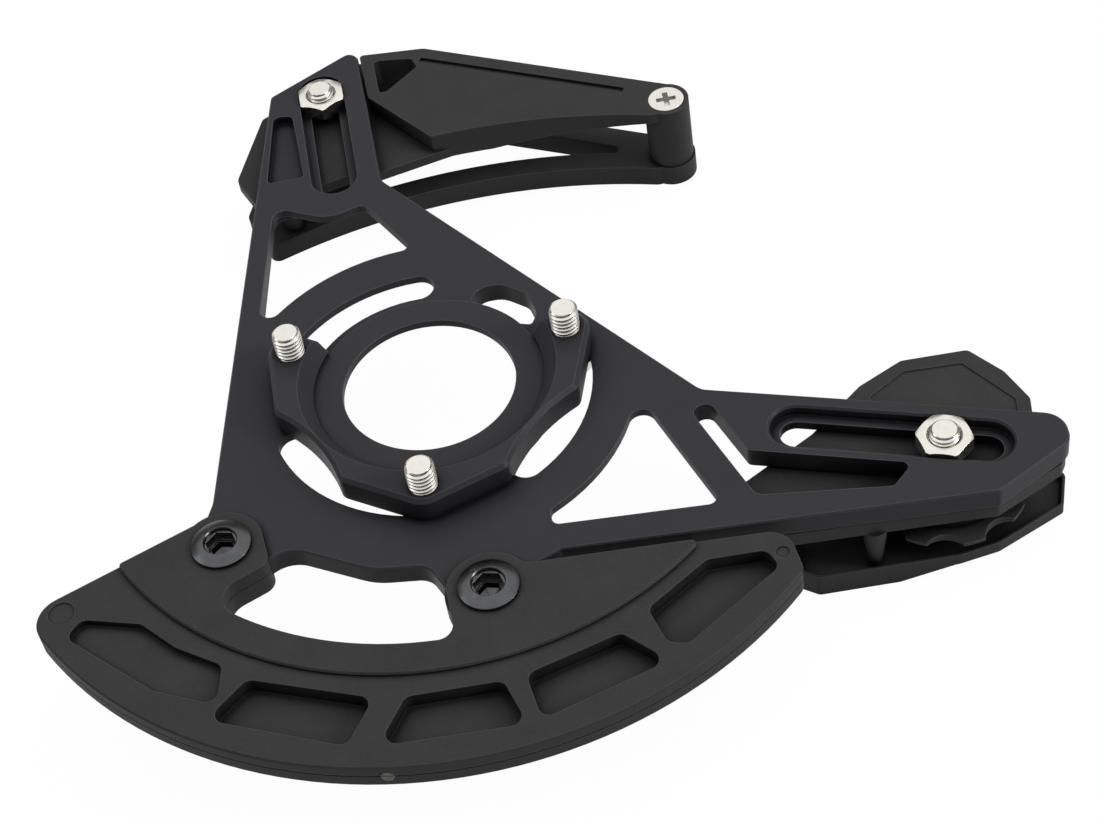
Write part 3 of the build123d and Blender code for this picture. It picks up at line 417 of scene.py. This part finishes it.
def flange_screw(name, node):
    """A black screw with a coned flange and a deep socket, in the place of a CAD screw"""
    low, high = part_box(node)
    shank_mm = 4.1
    tip_break = 0.5 * MM
    flange = [(5.65, 0), (5.9, 0.15), (5.9, 0.45), (5.75, 0.12), (3.6, 0.74), (3.4, 0.04)]
    entry = [(3.3, -0.1), (3.2, -0.12), (3.18, -0.75)]
    socket = [(3.0, -0.08), (2.98, -2.0)]
    socket_flats = 5.4 * MM
    socket_floor_mm = 2.9
    drill = [(2.25, 0), (2.2, -1.6), (0.3, -0.6)]
    seat = high.z - sum(lift for reach, lift in flange) * MM
    floor_level = high.z + sum(lift for reach, lift in entry + socket) * MM
    screw = round_bar(name, shank_mm, low.z, seat)
    pick(screw, "EDGE", lambda point: point.z < low.z + HAIR)
    bpy.ops.mesh.bevel(offset=tip_break, segments=1)
    bpy.ops.object.mode_set(mode="OBJECT")
    end_face(screw, True)
    rise(shank_mm, flange + entry + socket)
    bpy.ops.object.mode_set(mode="OBJECT")
    for vertex in screw.data.vertices:
        inside = hypot(vertex.co.x, vertex.co.y) < socket[0][0] * MM + HAIR
        if inside and vertex.co.z > floor_level - HAIR:
            vertex.co = on_hexagon(vertex.co, socket_flats, pi / 12)
    pick(
        screw,
        "FACE",
        lambda point: abs(point.z - floor_level) < HAIR and hypot(point.x, point.y) < CENTRAL,
    )
    rise(socket_floor_mm, drill)
    bpy.ops.object.mode_set(mode="OBJECT")
    move_onto(screw, node)
    finish_piece(screw, black_oxide, "plate", "black_steel", node)


for number in (1, 2):
    flange_screw(f"bash_screw_turned_{number}", f"bash_screw_{number}")
    dress(f"bash_sleeve_nut_{number}", black_oxide)

# Upper guide: two arched cheeks moulded in nylon. An M4 screw joins them at the tip, and an M6 bolt
# with a thin nut clamps them in the upper slot.
dress("upper_inner_cheek", nylon)
dress("upper_outer_cheek", nylon)
dress("pillar_screw", plated)
dress("pillar_nut", plated)
machine_bolt("upper_clamp_bolt_threaded", "upper_clamp_bolt", "upper_guide")


def thin_nut(name, node, body, bearing):
    """A hexagon nut with a coned top edge and a countersunk bore, its corners along the slot"""
    low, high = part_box(node)
    flats_mm = 10.0
    bore_mm = 3.03
    seat_gap = 0.02 * MM
    cone_slope = 0.6
    nut = round_bar(name, flats_mm / 2, low.z + seat_gap, high.z)
    end_face(nut, True)
    rise(flats_mm / 2, [(4.93, 0), (3.5, 0), (bore_mm, -0.5)])
    bpy.ops.object.mode_set(mode="OBJECT")
    end_face(nut, False)
    rise(flats_mm / 2, [(bore_mm, 0)])
    bpy.ops.object.mode_set(mode="OBJECT")
    pick(nut, "FACE", lambda point: hypot(point.x, point.y) < CENTRAL)
    bpy.ops.mesh.bridge_edge_loops()
    bpy.ops.object.mode_set(mode="OBJECT")
    for vertex in nut.data.vertices:
        if hypot(vertex.co.x, vertex.co.y) > flats_mm / 2 * MM - HAIR:
            corner = on_hexagon(vertex.co, flats_mm * MM, bearing + pi / 6)
            if corner.z > (low.z + high.z) / 2:
                corner.z -= cone_slope * (hypot(corner.x, corner.y) - flats_mm / 2 * MM)
            vertex.co = corner
    move_onto(nut, node)
    finish_piece(nut, plated, body, "zinc", node)


upper_slot_step = (0.03315, -0.99945)
upper_bearing = atan2(upper_slot_step[1], upper_slot_step[0])
thin_nut("upper_clamp_nut_turned", "upper_clamp_nut", "upper_guide", upper_bearing)

# Lower guide: two nylon cheeks under the lower arm, with a toothed pulley on a sealed ball bearing
# between them. The axle bolt also clamps them in the lower slot.
dress("lower_inner_cheek", nylon)
dress("lower_outer_cheek", nylon)
machine_bolt("axle_bolt_threaded", "axle_bolt", "lower_guide")
lower_slot_step = (0.94424, -0.32926)
lower_bearing = atan2(lower_slot_step[1], lower_slot_step[0])
thin_nut("axle_nut_turned", "axle_nut", "lower_guide", lower_bearing)
dress("pulley", nylon)
bearing_steel, shader, place = new_finish("bearing_steel")
cloud = place.noise(0.8, 3.0)
cloud.between((0.50, 0.50, 0.50), (0.62, 0.62, 0.62)).feed(shader, "Base Color")
(0.22 + 0.10 * cloud).feed(shader, "Roughness")
shader.inputs["Metallic"].default_value = 1.0
dress("bearing_outer_race", bearing_steel)
dress("bearing_inner_race", bearing_steel)

# Studio: a pale floor under the part, white where the camera or a reflection sees it, soft lamps
# overhead and a camera at the height of the photograph.
bpy.ops.object.select_all(action="DESELECT")
floor_height = cad_box[0].z - 0.1 * MM
bpy.ops.mesh.primitive_plane_add(size=6.0, location=(0, 0, floor_height))
floor = bpy.context.object
floor.name = "floor"
paper = bpy.data.materials.new("paper")
paper.use_nodes = True
tree = paper.node_tree
seen = Wire(tree).add("LightPath", {}, {}, "Is Camera Ray")
seen = seen + seen.add("LightPath", {}, {}, "Is Glossy Ray")
seen = seen + seen.add("LightPath", {}, {}, "Is Transmission Ray")
diffuse = seen.add("BsdfDiffuse", {}, {"Color": (0.3, 0.3, 0.3, 1)})
glow = seen.add("Emission", {}, {"Color": (1, 1, 1, 1), "Strength": 1.08})
white = seen.add("MixShader", {}, {0: seen * 0.9, 1: diffuse, 2: glow})
white.feed(tree.nodes["Material Output"], "Surface")
floor.data.materials.append(paper)

world = bpy.data.worlds.new("studio")
bpy.context.scene.world = world
world.use_nodes = True
world.node_tree.nodes["Background"].inputs["Color"].default_value = (1, 1, 1, 1)
world.node_tree.nodes["Background"].inputs["Strength"].default_value = 0.2

lamps = (
    ("overhead", (0.0, 0.4, 1.6), 3.6, 45.0),
    ("right", (0.9, -0.3, 0.45), 0.35, 6.0),
    ("left", (-0.9, 0.1, 0.5), 0.5, 1.5),
)
for name, spot, size, power in lamps:
    lamp = bpy.data.lights.new(name, "AREA")
    lamp.shape = "SQUARE"
    lamp.size = size
    lamp.energy = power
    holder = bpy.data.objects.new(name, lamp)
    bpy.context.scene.collection.objects.link(holder)
    holder.location = spot
    holder.rotation_euler = (-Vector(spot)).to_track_quat("-Z", "Y").to_euler()

camera_data = bpy.data.cameras.new("camera")
camera = bpy.data.objects.new("camera", camera_data)
bpy.context.scene.collection.objects.link(camera)
bpy.context.scene.camera = camera
camera_data.sensor_width = 36.0
camera_data.lens = 77.48
camera_data.shift_x = 0.00326
camera_data.shift_y = -0.00222
camera_data.clip_start = 0.01
camera.location = (0.02229, -0.32814, 0.34689)
camera.rotation_mode = "ZYX"
camera.rotation_euler = (radians(42.44), 0, radians(-10.23))
bpy.context.scene.view_settings.view_transform = "Standard"
